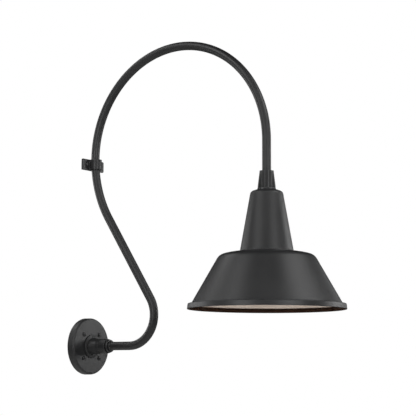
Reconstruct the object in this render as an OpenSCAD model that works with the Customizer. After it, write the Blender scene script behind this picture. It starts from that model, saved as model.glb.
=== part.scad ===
// Gooseneck barn light with a spun angle-neck shade, for a wall.
// Origin at the middle of the wall plate, on the wall. +Z is up and -Y is out of the wall.
// Millimetres throughout.

/* [Wall canopy] */
// Diameter of the canopy where it meets its gasket
canopy_d = 127.4; // [124:0.2:132]
// How far the front face stands off the wall
canopy_depth = 18.1; // [17:0.1:21]
// How much the canopy's side draws in towards the front, on the radius
canopy_draft = 0.1; // [0:0.1:2]
// Radius of the rounded edge round the front face
canopy_edge_r = 4.5; // [3:0.1:6]
// Thickness of the cast canopy
canopy_wall = 2.6; // [2:0.1:3.2]
// Thickness of the foam gasket behind the canopy's rim
gasket_t = 1.5; // [1:0.1:2]
// Radial width of the gasket
gasket_w = 5; // [4:0.1:6]
// Distance between neighbouring canopy screws, across and up
canopy_screw_spacing = 53.46; // [51:0.01:56]
// Diameter of the canopy screws' thread
canopy_screw_d = 4; // [3.5:0.1:4.5]
// Diameter of the canopy screws' domed heads
canopy_screw_head_d = 9.6; // [8:0.1:10.4]
// Height of the canopy screws' domed heads
canopy_screw_head_h = 3.2; // [2.4:0.1:3.6]

/* [Mounting plate] */
// Thickness of the steel mounting plate on the junction box
mounting_plate_t = 2; // [1.6:0.1:2.4]
// Diameter of the mounting plate's hole for the wires
wire_entry_d = 28; // [24:1:34]
// Distance between the middles of the two junction box slots
box_slot_spacing = 79.38; // [78:0.01:82]
// Length of each slot, end to end
box_slot_l = 14.1; // [12:0.1:15]
// Width of each slot
box_slot_w = 4.6; // [4.2:0.1:5]

/* [Arm] */
// Outside diameter of the gooseneck tube
tube_d = 19.05; // [18.6:0.05:19.4]
// Wall of the gooseneck tube
tube_wall = 1.6; // [1.4:0.1:1.8]
// Straight run from the wall to the first bend
arm_run = 127.5; // [117:0.1:137]
// Radius of the first bend, at the tube's middle
lower_bend_r = 67.5; // [60:0.5:75]
// How far the arm leans back towards the wall above the first bend, in degrees
arm_lean = 33; // [32:0.5:34]
// Length of the leaning run
lean_run = 221.7; // [218:0.1:226]
// Radius of the slow bend that brings the arm upright again
back_bend_r = 256; // [250:1:262]
// Radius of the half circle over the top
hook_r = 234.2; // [210:0.1:260]
// Straight drop from the half circle to the end of the tube
hook_drop = 91.1; // [80:0.1:110]

/* [Arm hub] */
// Diameter of the hub's base ring on the canopy
hub_base_d = 50.6; // [48:0.2:54]
// Height of the hub's base ring, up to the groove under the barrel
hub_base_h = 7.8; // [7:0.1:8.4]
// Diameter of the hub's barrel
hub_barrel_d = 42.2; // [40:0.2:44]
// How far the barrel's rounded shoulder reaches from the canopy
hub_barrel_h = 18; // [16:0.1:19]
// Diameter of the hub's neck
hub_neck_d = 32; // [31:0.2:34]
// How far the neck reaches from the canopy
hub_neck_h = 30; // [28:0.1:32]
// Diameter of the hub's threaded nose, inside the lock nut
hub_nose_d = 26; // [25:0.1:27]
// Length of the threaded nose
hub_nose_h = 12; // [10:0.1:13]
// Diameter of the threaded stub through the canopy
hub_stub_d = 25; // [24:0.1:26]
// Thickness of the nut inside the canopy
hub_nut_t = 5; // [4:0.1:6]
// Size of that nut across its flats
hub_nut_af = 34; // [32:0.5:38]
// Diameter of the lock nut that closes on the arm
lock_nut_d = 32.6; // [32:0.2:34]
// Length of the lock nut's body
lock_nut_h = 17.6; // [17:0.1:19]
// Length of the tapering ring beyond the body, up to its groove
lock_ring_h = 6.4; // [5:0.1:7]
// Diameter of that ring at its large end
lock_ring_d = 30.4; // [29:0.2:31]
// Length of the cone from that groove down to the tube
lock_cone_h = 3.4; // [3:0.1:4]
// Length of the compression ring inside the lock nut
ferrule_h = 4; // [3:0.1:5]
// Diameter of the hub's grub screw and of the one in the shade fitter
grub_d = 5; // [4.5:0.1:5.5]

/* [Wall strap] */
// Height of the strap's middle above the wall plate's middle
strap_z = 415.8; // [408:0.1:422]
// Width of the strap, up and down
strap_h = 25.4; // [22:0.1:26]
// Thickness of the strap
strap_t = 3.2; // [2.4:0.1:3.6]
// Length of the strap, end to end
strap_l = 76; // [72:0.5:80]
// Distance between the strap's two screws
strap_screw_spacing = 44; // [40:0.1:47]
// Diameter of the strap screws' thread
strap_screw_d = 4.2; // [3.5:0.1:4.8]
// Diameter of the strap screws' domed heads
strap_screw_head_d = 9.6; // [8.6:0.1:10.6]
// Height of the strap screws' domed heads
strap_screw_head_h = 3; // [2.4:0.1:3.4]
// Length of the stand-off block on the wall
standoff_back_l = 53; // [52:0.5:58]
// Length of the stand-off block behind the strap
standoff_front_l = 60; // [56:0.5:64]
// Height of the stand-off block
standoff_h = 21; // [18:0.1:22]

/* [Shade fitter] */
// Height of the cast fitter, from its flange's underside to its top
fitter_h = 40; // [38:0.1:43]
// Diameter of the fitter's round body
fitter_body_d = 26; // [25:0.1:27]
// Diameter of the fitter's flange
fitter_flange_d = 39.8; // [39.4:0.2:44]
// Thickness of the flange
fitter_flange_t = 3; // [2.6:0.1:4.4]
// Number of fins round the fitter
fin_count = 4; // [3:1:8]
// Thickness of each fin
fin_t = 4.8; // [3:0.1:5.6]
// Diameter across the fins at their foot
fin_foot_d = 38.4; // [36:0.1:39.2]
// Diameter across the fins at their top
fin_top_d = 29.2; // [28:0.1:31]
// How deep the tube goes into the fitter
fitter_grip = 26; // [24:0.1:27]
// Height of the grub screw's groove above the tube's end
groove_up = 14.3; // [12:0.1:16]
// Diameter of the rubber seat between the fitter and the shade
seat_d = 51; // [48:0.2:54]
// Thickness of that seat
seat_t = 3; // [2:0.1:4]

/* [Shade] */
// Diameter of the shade's rim band at its bottom
rim_d = 335; // [320:1:350]
// Height of the shade, rim to top
shade_h = 250; // [246:0.5:256]
// Height of the upright rim band
rim_h = 12.2; // [10:0.1:14]
// Width of the ledge from the skirt out to the rim band
ledge_w = 7.5; // [6:0.1:9]
// How much wider the rim band is at its bottom, on the radius
rim_flare = 1.4; // [0.5:0.1:2]
// Lean of the skirt, in degrees from upright
skirt_lean = 29.8; // [28:0.1:31]
// Height of the corner between skirt and crown above the ledge
skirt_h = 101.4; // [98:0.1:104]
// Radius of the rounded corner between skirt and crown
knuckle_r = 21; // [12:0.5:21.5]
// Diameter at the middle of the crown's slow curve, where its two straight sides would meet
crown_d = 150.4; // [149:0.2:152]
// How far that point is above the corner between skirt and crown
crown_rise = 6.3; // [6:0.1:6.8]
// Radius of the crown's slow curve
crown_r = 148; // [100:1:150]
// Diameter of the neck where it meets the crown
neck_foot_d = 113.8; // [112:0.2:114]
// How far the neck's foot is above the crown's middle point
neck_foot_rise = 0.7; // [0.4:0.1:1]
// Taper of the neck, in degrees from upright
neck_taper = 10.1; // [9.6:0.1:10.6]
// Radius of the small fillet at the neck's foot
neck_foot_fillet = 2.5; // [1.5:0.1:2.8]
// Radius of the rounded edge at the neck's top
neck_top_fillet = 9; // [6:0.1:10]
// Thickness of the spun sheet
shade_wall = 1.2; // [1:0.1:1.5]
// Height of the hem folded up inside the rim band
hem_h = 6.5; // [5:0.1:8]

/* [Lamp holder] */
// Outside diameter of the threaded nipple that hangs the lamp holder
nipple_d = 17.1; // [16.6:0.1:17.4]
// Bore of the nipple
nipple_bore = 12.8; // [12.6:0.1:13.4]
// Length of the nipple
nipple_l = 38; // [36:0.1:40]
// Thickness of the nipple's washer
nipple_washer_t = 1.6; // [1.2:0.1:2]
// Diameter of the nipple's washer
nipple_washer_d = 34; // [30:0.5:38]
// Thickness of the nipple's nut
nipple_nut_t = 5; // [4:0.1:6]
// Size of the nipple's nut across its flats
nipple_nut_af = 25.4; // [24:0.2:28]
// Diameter of the holder's steel cap
holder_cap_d = 48; // [46:0.5:52]
// Thickness of the cap's plate
holder_cap_t = 3; // [2:0.1:4]
// Height of the cap's threaded boss above its plate
holder_boss_h = 10; // [8:0.1:11]
// Diameter of that boss
holder_boss_d = 25; // [23:0.5:28]
// Outside diameter of the ceramic holder
holder_d = 44; // [43:0.5:46]
// Height of the ceramic holder
holder_h = 54; // [50:0.5:60]
// Depth of the holder's cavity
holder_cavity = 43; // [41:0.5:45]
// Inside diameter of the screw shell, for a medium screw base
shell_bore = 26.6; // [26.4:0.1:27]
// Thickness of the brass shell
shell_wall = 0.5; // [0.4:0.05:0.6]
// How far the shell sits inside the holder's mouth
shell_recess = 3; // [2:0.1:4]
// Diameter of the two long screws through the holder
holder_screw_d = 3.5; // [3:0.1:3.8]
// Diameter of their heads
holder_screw_head_d = 5.8; // [5.4:0.1:6]
// Distance between those screws
holder_screw_spacing = 36.6; // [36:0.1:37]

/* [Wires] */
// Diameter of each insulated lead
lead_d = 3; // [2.6:0.1:3.1]
// Distance between the two leads' middles
lead_spacing = 8.4; // [8:0.1:8.5]
// How far from the wall the leads and the ground wire end
lead_back = 4; // [3:0.1:5]
// Diameter of the ground wire
ground_wire_d = 2.6; // [2:0.1:2.8]
// Radius of the ground wire's curve inside the canopy
ground_wire_r = 31; // [30:0.1:31.5]
// Diameter of the ground screw's thread
ground_screw_d = 3.5; // [3:0.1:4]

/* [Hidden] */

// Clearances
slip = 0.05;        // radial, between a shaft or thread and its hole
screw_clear = 0.3;  // radial, round a screw in a plain hole
turn_gap = 0.3;     // between the arm and what turns on it, end to end
end_gap = 0.3;      // between a screw's end and the wall or face that it stops short of
touch = 0.02;       // between faces that close on a curve
joint_gap = 0.004;  // between the ends of two stretches of the arm
joint_l = 0.4;      // length of the ring that joins them
joint_inset = 0.3;  // of that ring, from both faces of the wall
over = 1;           // how far a cutter runs past the face that it cuts
fine = 128;         // steps of a round surface on show
arc_steps = 10;     // steps of a rounded corner

black = "#2c2d2f";
steel = "#b9bbbe";
brass = "#c9a64a";
white = "#f3efe6";
copper = "#b5683a";

tube_r = tube_d / 2;
canopy_r = canopy_d / 2;
face_w = canopy_depth;
canopy_inner_face_w = face_w - canopy_wall;
gasket_inset = 0.6;        // of the gasket's edge, from the canopy's edge
mounting_plate_inset = 4;  // of the mounting plate's edge, from the gasket
gasket_out_r = canopy_r - gasket_inset;
gasket_in_r = canopy_r - gasket_w;
mounting_plate_r = gasket_in_r - mounting_plate_inset;

hub_stop = 4;              // from the canopy's face out to the shoulder that stops the tube
hub_stub_reach = 1.2;      // of the stub, behind its nut
hub_stop_w = face_w + hub_stop;
neck_end_w = face_w + hub_neck_h;
nose_end_w = neck_end_w + hub_nose_h;
hub_nut_back_w = canopy_inner_face_w - hub_nut_t;
hub_stub_back_w = hub_nut_back_w - hub_stub_reach;
hub_wire_r = tube_r - tube_wall;
ground_tap = 1.8;          // depth of the ground screw's hole in the canopy
ground_screw_drop = ground_wire_r + ground_wire_d / 2 + ground_screw_d / 2 + touch;
hub_grub_w = face_w + (hub_barrel_h + hub_neck_h) / 2;
lock_body_end_w = neck_end_w + lock_nut_h;
lock_ring_end_w = lock_body_end_w + lock_ring_h;
lock_cone_end_w = lock_ring_end_w + lock_cone_h;
lock_groove_w = 1.2;       // width of the lock nut's two grooves
lock_groove_depth = 1;
hub_groove_w = 1;          // width of the groove between the hub's base ring and its barrel
hub_groove_depth = 0.8;

// The arm's route in its own plane: each stretch is [radius or 0, turn or 0, length or 0],
// and a turn is positive when it bends to the left of the way that the tube runs
arm_rise_turn = 90 + arm_lean;
arm_route = [[0, 0, arm_run - hub_stop_w], [lower_bend_r, arm_rise_turn, 0], [0, 0, lean_run],
             [back_bend_r, -arm_lean, 0], [hook_r, -180, 0], [0, 0, hook_drop]];

function next_pose(p, s) =
    s[0] == 0
    ? [p[0] + s[2] * cos(p[2]), p[1] + s[2] * sin(p[2]), p[2]]
    : let (side = sign(s[1]), to = p[2] + s[1])
      [p[0] + side * s[0] * (sin(to) - sin(p[2])), p[1] - side * s[0] * (cos(to) - cos(p[2])), to];
function pose(i) = i == 0 ? [hub_stop_w, 0, 0] : next_pose(pose(i - 1), arm_route[i - 1]);

arm_end = pose(6);
drop_w = arm_end[0];
tube_end_z = arm_end[1];
back_bend_end = pose(4);
strap_back_w = back_bend_end[0] - tube_r;

// Heights on the drop, from the tube's end down
bushing_flange_t = 1;
bushing_z = tube_end_z - bushing_flange_t;
fitter_step_z = bushing_z - turn_gap;
fitter_top_z = tube_end_z + fitter_grip;
fitter_z = fitter_top_z - fitter_h;
flange_top_z = fitter_z + fitter_flange_t;
groove_z = tube_end_z + groove_up;
groove_depth = 0.6;
fin_turn = 33;             // of the first fin, from the fitter's grub screw
grub_point_d = grub_d - 1;
groove_h = grub_point_d + 0.4;
nipple_stop = 0.2;         // from the fitter's step down to the nipple's end
nipple_grip = 8;           // of the nipple in the holder cap's boss
shade_top_z = fitter_z - seat_t;
rim_z = shade_top_z - shade_h;
ledge_z = rim_z + rim_h;
nipple_top_z = fitter_step_z - nipple_stop;
nipple_z = nipple_top_z - nipple_l;
washer_z = shade_top_z - shade_wall - nipple_washer_t;
nipple_nut_z = washer_z - nipple_nut_t;
holder_boss_top_z = nipple_z + nipple_grip;
holder_top_z = holder_boss_top_z - holder_boss_h - holder_cap_t;
holder_z = holder_top_z - holder_h;
cavity_top_z = holder_z + holder_cavity;
cavity_r = shell_bore / 2 + shell_wall + slip;
shell_z = holder_z + shell_recess;
tail_hole_depth = 5;       // of the holes for the leads, in the ceramic's top
holder_screw_seat = 3;     // how deep the holder screws' heads lie in the ceramic
contact_hole_r = 8;        // of the hole in the shell's end that the contact reaches through
contact_recess = 3;        // of the ceramic above that hole, which holds the contact

// Corners of the shade's outside, from the nipple's hole to the rim: [radius, height, fillet]
skirt_foot_r = rim_d / 2 - rim_flare - ledge_w;
skirt_top_z = ledge_z + skirt_h;
crown_z = skirt_top_z + crown_rise;
neck_foot_z = crown_z + neck_foot_rise;
neck_top_r = neck_foot_d / 2 - (shade_top_z - neck_foot_z) * tan(neck_taper);
shade_hole_r = nipple_d / 2 + screw_clear;
rim_fillet = 1.8;
shade_path = limited([
    [shade_hole_r, shade_top_z, 0],
    [neck_top_r, shade_top_z, neck_top_fillet],
    [neck_foot_d / 2, neck_foot_z, neck_foot_fillet],
    [crown_d / 2, crown_z, crown_r],
    [skirt_foot_r - skirt_h * tan(skirt_lean), skirt_top_z, knuckle_r],
    [skirt_foot_r, ledge_z, 2],
    [rim_d / 2 - rim_flare, ledge_z - 0.6, rim_fillet],
    [rim_d / 2, rim_z, 0]
]);

// Points round one corner b, on the arc of radius r that touches a-b and b-c
function unit(v) = v / norm(v);
function flat(p) = [p[0], p[1]];
function corner(a, b, c, r) =
    let (u = unit(flat(a) - flat(b)), v = unit(flat(c) - flat(b)),
         half = acos(max(-1, min(1, u * v))) / 2,
         mid = flat(b) + unit(u + v) * r / sin(half),
         from = flat(b) + u * r / tan(half) - mid,
         to = flat(b) + v * r / tan(half) - mid,
         start = atan2(from[1], from[0]),
         raw = atan2(to[1], to[0]) - start,
         sweep = raw > 180 ? raw - 360 : raw < -180 ? raw + 360 : raw)
    [for (i = [0:arc_steps]) mid + r * [cos(start + sweep * i / arc_steps),
                                        sin(start + sweep * i / arc_steps)]];

// The same corners, with a fillet cut down where its side is too short for it and its neighbour
function reach(path, i) =
    i == 0 || i == len(path) - 1 || path[i][2] <= 0 ? 0
    : let (u = unit(flat(path[i - 1]) - flat(path[i])), v = unit(flat(path[i + 1]) - flat(path[i])))
      path[i][2] / tan(acos(max(-1, min(1, u * v))) / 2);
function room(path, i) =
    norm(flat(path[i + 1]) - flat(path[i])) / max(0.001, reach(path, i) + reach(path, i + 1));
function limited(path) =
    [for (i = [0:len(path) - 1])
        let (before = i == 0 ? 1 : room(path, i - 1), after = i == len(path) - 1 ? 1 : room(path, i))
        [path[i][0], path[i][1], path[i][2] * min(1, before, after)]];

// A route of corners [x, y, fillet] with its corners rounded. Its two ends stay sharp
function rounded(path) =
    [for (i = [0:len(path) - 1])
        each (i == 0 || i == len(path) - 1 || path[i][2] <= 0)
            ? [flat(path[i])]
            : corner(path[i - 1], path[i], path[i + 1], path[i][2])];

// The same route moved sideways by d, to the right of the way that it runs
function right_of(a, b) = let (u = unit(flat(b) - flat(a))) [u[1], -u[0]];
function side_turn(a, b, c) =
    let (u = flat(b) - flat(a), v = flat(c) - flat(b)) sign(u[0] * v[1] - u[1] * v[0]);
function beside(path, d) =
    [for (i = [0:len(path) - 1])
        let (last = len(path) - 1,
             n1 = i == 0 ? right_of(path[0], path[1]) : right_of(path[i - 1], path[i]),
             n2 = i == last ? n1 : right_of(path[i], path[i + 1]),
             shift = (n1 + n2) * d / (1 + n1 * n2),
             bend = i == 0 || i == last ? 0 : side_turn(path[i - 1], path[i], path[i + 1]))
        [path[i][0] + shift[0], path[i][1] + shift[1],
         path[i][2] <= 0 ? 0 : max(0.2, path[i][2] + bend * d)]];

// Local z runs out of the wall, and local y is up
module from_wall(w = 0) rotate([90, 0, 0]) translate([0, 0, w]) children();

// On the axis of the arm's drop, at height z
module on_drop(z = 0) translate([0, -drop_w, z]) children();

// A turned or spun solid about local z
module turned(points) rotate_extrude($fn = fine) polygon(points);

// A ring or disc from z to z + h
module ring(r_out, r_in, h) {
    difference() {
        cylinder(h = h, r = r_out, $fn = fine);
        if (r_in > 0) translate([0, 0, -over]) cylinder(h = h + 2 * over, r = r_in, $fn = fine);
    }
}

// A screw along local z: its domed head stands up from z = 0 and its thread goes down
module screw(d, l, head_d, head_h) {
    dome_r = (pow(head_d / 2, 2) + pow(head_h, 2)) / (2 * head_h);
    difference() {
        union() {
            intersection() {
                translate([0, 0, head_h - dome_r]) sphere(r = dome_r, $fn = 64);
                cylinder(h = head_h, r = head_d / 2, $fn = 64);
            }
            translate([0, 0, -l]) cylinder(h = l + head_h / 4, r = d / 2, $fn = 48);
        }
        translate([0, 0, head_h * 0.45])
            for (a = [0, 90]) rotate([0, 0, a])
                translate([-head_d * 0.3, -head_d * 0.07, 0])
                    cube([head_d * 0.6, head_d * 0.14, head_h]);
    }
}

// A grub screw along local z, its point at z = 0 and its hexagon socket at the top
module grub(d, point_d, point_l, l) {
    difference() {
        union() {
            cylinder(h = point_l + touch, r = point_d / 2, $fn = 48);
            translate([0, 0, point_l]) cylinder(h = l - point_l, r = d / 2, $fn = 48);
        }
        translate([0, 0, l - d * 0.4]) cylinder(h = d, r = d * 0.27, $fn = 6);
    }
}

// A round bar or tube along the arm's route, moved sideways by off. The stretches stop a hair
// apart and a short ring within the wall makes each joint, so that they form one solid
module arm_section(r_out, r_in, off) {
    translate([0, off]) difference() {
        circle(r = r_out, $fn = 64);
        if (r_in > 0) circle(r = r_in, $fn = 64);
    }
}
module at_pose(p) translate([p[0], p[1], 0]) rotate([0, 0, p[2]]) children();
module arm_straight(l, r_out, r_in, off) {
    rotate([0, 90, 0]) linear_extrude(height = l) rotate(90) arm_section(r_out, r_in, off);
}
module arm_bend(r, turn, gap, r_out, r_in, off) {
    skip = gap / r * 180 / PI;
    rotate([turn < 0 ? 180 : 0, 0, 0]) translate([0, r, 0]) rotate([0, 0, skip - 90])
        rotate_extrude(angle = abs(turn) - skip, $fn = 180)
            translate([r, 0]) arm_section(r_out, r_in, sign(turn) * off);
}
module arm_joint(r_out, r_in, off) {
    translate([-joint_l / 2, 0, 0])
        arm_straight(joint_l, r_out - joint_inset, r_in > 0 ? r_in + joint_inset : 0, off);
}
module along_arm(r_out, r_in = 0, off = 0, first = 0, last = len(arm_route) - 1) {
    rotate([90, 0, -90]) for (i = [first:last]) at_pose(pose(i)) {
        gap = i == first ? 0 : joint_gap;
        if (arm_route[i][0] == 0) translate([gap, 0, 0])
            arm_straight(arm_route[i][2] - gap, r_out, r_in, off);
        else arm_bend(arm_route[i][0], arm_route[i][1], gap, r_out, r_in, off);
        if (i > first) arm_joint(r_out, r_in, off);
    }
}

// The two bends that meet under the strap, as a cutter
module strapped_arm(r) along_arm(r, first = 3, last = 4);

module at_canopy_screws(w) {
    for (x = [-1, 1], z = [-1, 1])
        from_wall(w) translate([x, z, 0] * canopy_screw_spacing / 2) children();
}

// Foam ring between the canopy's rim and the wall
module wall_gasket() {
    color("#3a3a3a") from_wall() ring(gasket_out_r, gasket_in_r, gasket_t);
}

// Galvanised plate on the junction box: two slots for the box, four tapped holes for the canopy
module mounting_plate() {
    color(steel) difference() {
        from_wall() ring(mounting_plate_r, wire_entry_d / 2, mounting_plate_t);
        at_canopy_screws(-over)
            cylinder(h = mounting_plate_t + 2 * over, r = canopy_screw_d / 2 + slip, $fn = 48);
        for (s = [-1, 1]) from_wall(-over) translate([s * box_slot_spacing / 2, 0, 0]) {
            for (e = [-1, 1]) translate([e * (box_slot_l - box_slot_w) / 2, 0, 0])
                cylinder(h = mounting_plate_t + 2 * over, r = box_slot_w / 2, $fn = 48);
            translate([-(box_slot_l - box_slot_w) / 2, -box_slot_w / 2, 0])
                cube([box_slot_l - box_slot_w, box_slot_w, mounting_plate_t + 2 * over]);
        }
    }
}

// Cast cover, open behind, with a rounded edge round its flat face
module canopy() {
    outside = [[canopy_r, gasket_t, 0], [canopy_r - canopy_draft, face_w, canopy_edge_r],
               [hub_stub_d / 2 + slip, face_w, 0]];
    inside = beside(outside, -canopy_wall);
    color(black) difference() {
        from_wall() turned(concat(
            rounded(outside),
            [[hub_stub_d / 2 + slip, canopy_inner_face_w]],
            [for (i = [1:len(rounded(inside)) - 2]) rounded(inside)[len(rounded(inside)) - 1 - i]],
            [[canopy_r - canopy_wall, gasket_t]]));
        at_canopy_screws(canopy_inner_face_w - over)
            cylinder(h = canopy_wall + 2 * over, r = canopy_screw_d / 2 + screw_clear, $fn = 48);
        from_wall(canopy_inner_face_w - over) translate([0, -ground_screw_drop, 0])
            cylinder(h = over + ground_tap, r = ground_screw_d / 2 + slip, $fn = 48);
    }
}

module canopy_screws() {
    color(black) at_canopy_screws(face_w)
        screw(canopy_screw_d, face_w - end_gap, canopy_screw_head_d, canopy_screw_head_h);
}

// Turned hub: threaded stub through the canopy, base ring, barrel, neck and threaded nose
module hub() {
    base_end = face_w + hub_base_h;
    barrel_start = base_end + hub_groove_w;
    barrel_end = face_w + hub_barrel_h;
    barrel_r = hub_barrel_d / 2;
    groove_r = barrel_r - hub_groove_depth;
    base_slope = 4.4;
    shoulder_h = 3.4;
    profile = [[hub_wire_r, hub_stub_back_w, 0], [hub_stub_d / 2, hub_stub_back_w, 0],
               [hub_stub_d / 2, face_w, 0], [hub_base_d / 2, face_w, 0],
               [hub_base_d / 2, base_end - base_slope, 2.4], [barrel_r + 0.6, base_end, 0.8],
               [groove_r, base_end, 0.2], [groove_r, barrel_start, 0.2],
               [barrel_r, barrel_start, 0.5], [barrel_r, barrel_end - shoulder_h, 4.5],
               [hub_neck_d / 2, barrel_end, 1.6],
               [hub_neck_d / 2, neck_end_w, 0.5], [hub_nose_d / 2, neck_end_w, 0],
               [hub_nose_d / 2, nose_end_w, 0], [tube_r + slip, nose_end_w, 0],
               [tube_r + slip, hub_stop_w, 0], [hub_wire_r, hub_stop_w, 0]];
    color(black) difference() {
        from_wall() turned(rounded(profile));
        from_wall(hub_grub_w) rotate([90, 0, 0])
            translate([0, 0, tube_r - over]) cylinder(h = hub_neck_d, r = grub_d / 2 + slip, $fn = 48);
    }
}

module hub_nut() {
    color(steel) from_wall(hub_nut_back_w) difference() {
        cylinder(h = hub_nut_t, r = hub_nut_af / 2 / cos(30), $fn = 6);
        translate([0, 0, -over]) cylinder(h = hub_nut_t + 2 * over, r = hub_stub_d / 2 + slip, $fn = 96);
    }
}

// Grub screw under the hub's neck, its point on the tube
module hub_grub_screw() {
    point_l = 1;
    sunk = 0.6;
    color(steel) from_wall(hub_grub_w) rotate([90, 0, 0]) translate([0, 0, tube_r + touch])
        grub(grub_d, grub_point_d, point_l, hub_neck_d / 2 - tube_r - sunk);
}

// Brass ring that the lock nut squeezes onto the tube
module ferrule() {
    inset = 0.6;
    color(brass) from_wall(nose_end_w)
        ring(hub_nose_d / 2 - inset, tube_r + slip, ferrule_h);
}

// Nut that screws onto the hub's nose and closes on the tube: a straight body, then a groove,
// a tapering ring, a second groove and a short cone
module lock_nut() {
    body_r = lock_nut_d / 2;
    ring_r = lock_ring_d / 2;
    cone_r = tube_r + 0.6;
    taper = (ring_r - cone_r) / (lock_cone_end_w - lock_body_end_w);
    ring_end_r = ring_r - taper * (lock_ring_h - lock_groove_w);
    start_w = neck_end_w + touch;
    seat_w = nose_end_w + ferrule_h;
    profile = [[hub_nose_d / 2 + slip, start_w, 0], [body_r, start_w, 0.5],
               [body_r, lock_body_end_w - lock_groove_w, 1.2],
               [ring_r - lock_groove_depth, lock_body_end_w - lock_groove_w, 0.2],
               [ring_r - lock_groove_depth, lock_body_end_w, 0.2], [ring_r, lock_body_end_w, 0.6],
               [ring_end_r, lock_ring_end_w - lock_groove_w, 0.8],
               [ring_end_r - lock_groove_depth, lock_ring_end_w - lock_groove_w, 0.2],
               [ring_end_r - lock_groove_depth, lock_ring_end_w, 0.2],
               [ring_end_r - lock_groove_depth / 2, lock_ring_end_w, 0.2],
               [cone_r, lock_cone_end_w, 0], [tube_r + slip, lock_cone_end_w, 0],
               [tube_r + slip, seat_w, 0], [hub_nose_d / 2 + slip, seat_w, 0]];
    color(black) from_wall() turned(rounded(profile));
}

module ground_screw() {
    head_w = canopy_inner_face_w - 2 * touch - ground_wire_d;
    head_d = 7;
    head_h = 2.2;
    color("green") from_wall(head_w) translate([0, -ground_screw_drop, 0]) rotate([180, 0, 0])
        screw(ground_screw_d, ground_wire_d + ground_tap - 0.2, head_d, head_h);
}

// Bare copper wire, hooked under the ground screw and led round towards the wires' entry
module ground_wire() {
    hook_w = canopy_inner_face_w - touch - ground_wire_d / 2;
    color(copper) from_wall(hook_w) {
        rotate([0, 0, -100]) rotate_extrude(angle = 130, $fn = 96)
            translate([ground_wire_r, 0]) circle(r = ground_wire_d / 2, $fn = 32);
    }
}

// Bent tube, hollow for the wires, with a groove for the fitter's grub screw near its end
module gooseneck_tube() {
    color(black) difference() {
        along_arm(tube_r, tube_r - tube_wall);
        on_drop(groove_z - groove_h / 2) ring(tube_r + over, tube_r - groove_depth, groove_h);
    }
}

// Plastic bush in the tube's end that keeps the leads off its edge
module tube_bushing() {
    bore_r = (lead_spacing + lead_d) / 2 + 2 * slip;
    sleeve_l = 10;
    color("#1c1c1c") on_drop(bushing_z) {
        ring(tube_r - 2 * slip, bore_r, bushing_flange_t);
        translate([0, 0, bushing_flange_t - touch])
            ring(tube_r - tube_wall - slip, bore_r, sleeve_l);
    }
}

// Lead in the arm, from inside the canopy to the bush
module arm_lead(side) {
    off = side * lead_spacing / 2;
    along_arm(lead_d / 2, 0, off);
    from_wall(lead_back) translate([-off, 0, 0])
        cylinder(h = hub_stop_w - lead_back, r = lead_d / 2, $fn = 64);
    on_drop(bushing_z) translate([-off, 0, 0])
        cylinder(h = bushing_flange_t, r = lead_d / 2, $fn = 64);
}
module line_lead() color("#151515") arm_lead(1);
module neutral_lead() color(white) arm_lead(-1);

// Block that holds the strap off the wall, hollowed for the tube
module standoff() {
    front_w = strap_back_w;
    color(black) difference() {
        translate([0, 0, strap_z - standoff_h / 2]) linear_extrude(height = standoff_h)
            polygon([[-standoff_back_l / 2, 0], [standoff_back_l / 2, 0],
                     [standoff_front_l / 2, -front_w], [-standoff_front_l / 2, -front_w]]);
        strapped_arm(tube_r + slip);
        at_strap_screws(-over)
            cylinder(h = front_w + 2 * over, r = strap_screw_d / 2 + slip, $fn = 48);
    }
}

module at_strap_screws(w) {
    for (s = [-1, 1]) from_wall(w) translate([s * strap_screw_spacing / 2, strap_z, 0]) children();
}

// Two-hole strap: a half loop over the tube between two flat ears
module wall_strap() {
    hoop_r = tube_r + strap_t;
    hoop_w = back_bend_end[0];
    ear_fillet = 2.6;
    color(black) difference() {
        translate([0, 0, strap_z - strap_h / 2]) linear_extrude(height = strap_h) {
            translate([0, -hoop_w]) circle(r = hoop_r, $fn = fine);
            translate([-hoop_r, -hoop_w]) square([2 * hoop_r, hoop_w - strap_back_w]);
            translate([-strap_l / 2, -strap_back_w - strap_t]) square([strap_l, strap_t]);
        }
        translate([-strap_l, -strap_back_w, strap_z - strap_h]) cube([2 * strap_l, tube_d, 2 * strap_h]);
        strapped_arm(tube_r + slip);
        translate([-tube_r + touch, -hoop_w, strap_z - strap_h])
            cube([tube_d - 2 * touch, hoop_w - strap_back_w + over, 2 * strap_h]);
        at_strap_screws(strap_back_w - over)
            cylinder(h = strap_t + 2 * over, r = strap_screw_d / 2 + screw_clear, $fn = 48);
        for (s = [-1, 1], e = [-1, 1]) from_wall(strap_back_w - over)
            translate([s * strap_l / 2, strap_z + e * strap_h / 2, 0])
                rotate([0, 0, s > 0 ? (e > 0 ? 180 : 90) : (e > 0 ? 270 : 0)])
                    difference() {
                        translate([-over, -over, 0])
                            cube([ear_fillet + over, ear_fillet + over, strap_t + 2 * over]);
                        translate([ear_fillet, ear_fillet, -over])
                            cylinder(h = strap_t + 4 * over, r = ear_fillet, $fn = 32);
                    }
    }
}

module strap_screws() {
    color(black) at_strap_screws(strap_back_w + strap_t)
        screw(strap_screw_d, strap_back_w + strap_t - end_gap, strap_screw_head_d, strap_screw_head_h);
}

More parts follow.
